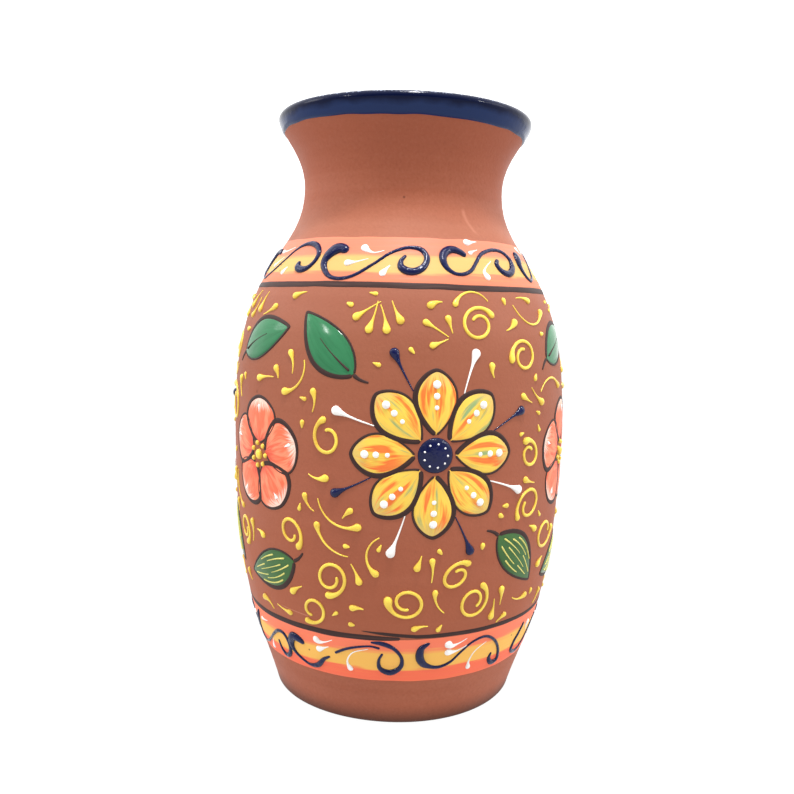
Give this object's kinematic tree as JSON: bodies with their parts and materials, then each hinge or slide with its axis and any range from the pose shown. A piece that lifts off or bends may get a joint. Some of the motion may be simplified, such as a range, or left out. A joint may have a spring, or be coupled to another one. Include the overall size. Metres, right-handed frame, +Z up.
{
  "type": "flower vase",
  "caption": "Round-bellied terracotta flower vase with a flared, glazed lip, painted scroll borders and a raised flower panel, standing on a flat foot.",
  "frame": {"origin": "centre of the flat foot, on the surface that the vase stands on", "axes": "+Z up the vase's axis to the mouth, -Y towards the front of the painted panel, +X to the viewer's right"},
  "size_m": [0.1411, 0.1416, 0.2388],
  "materials": {
    "terracotta": "matte, bare fired red clay",
    "cobalt_glaze": "glossy cobalt blue glaze",
    "clear_glaze": "clear glaze over red clay",
    "band_paint": "satin brushed salmon and yellow paint",
    "line_paint": "matte dark brown brushed line",
    "blue_slip": "glossy raised cobalt slip",
    "petal_paint": "satin brushed yellow, orange and green paint",
    "coral_paint": "satin brushed coral and white paint",
    "leaf_enamel": "glossy green enamel",
    "yellow_slip": "glossy raised yellow slip",
    "white_slip": "glossy raised white slip"
  },
  "bodies": {
    "root": {"vase_body": "terracotta", "inner_glaze": "clear_glaze", "rim_glaze": "cobalt_glaze", "upper_band": "band_paint", "lower_band": "band_paint", "upper_line": "line_paint", "lower_line": "line_paint", "upper_scroll_1": "blue_slip", "upper_scroll_2": "blue_slip", "upper_scroll_3": "blue_slip", "upper_scroll_4": "blue_slip", "upper_scroll_5": "blue_slip", "upper_scroll_6": "blue_slip", "upper_scroll_7": "blue_slip", "upper_scroll_8": "blue_slip", "lower_scroll_1": "blue_slip", "lower_scroll_2": "blue_slip", "lower_scroll_3": "blue_slip", "lower_scroll_4": "blue_slip", "lower_scroll_5": "blue_slip", "lower_scroll_6": "blue_slip", "lower_scroll_7": "blue_slip", "lower_scroll_8": "blue_slip", "dahlia_1": "petal_paint", "dahlia_2": "petal_paint", "dahlia_3": "petal_paint", "rose_1": "coral_paint", "rose_2": "coral_paint", "rose_3": "coral_paint", "leaf_1": "leaf_enamel", "leaf_2": "leaf_enamel", "leaf_3": "leaf_enamel", "leaf_4": "leaf_enamel", "leaf_5": "leaf_enamel", "leaf_6": "leaf_enamel", "leaf_7": "leaf_enamel", "leaf_8": "leaf_enamel", "leaf_9": "leaf_enamel", "leaf_10": "leaf_enamel", "leaf_11": "leaf_enamel", "leaf_12": "leaf_enamel", "curl_1": "yellow_slip", "curl_2": "yellow_slip", "curl_3": "yellow_slip", "curl_4": "yellow_slip", "curl_5": "yellow_slip", "curl_6": "yellow_slip", "curl_7": "yellow_slip", "curl_8": "yellow_slip", "curl_9": "yellow_slip", "curl_10": "yellow_slip", "curl_11": "yellow_slip", "curl_12": "yellow_slip", "curl_13": "yellow_slip", "curl_14": "yellow_slip", "curl_15": "yellow_slip"}
  },
  "joints": []
}
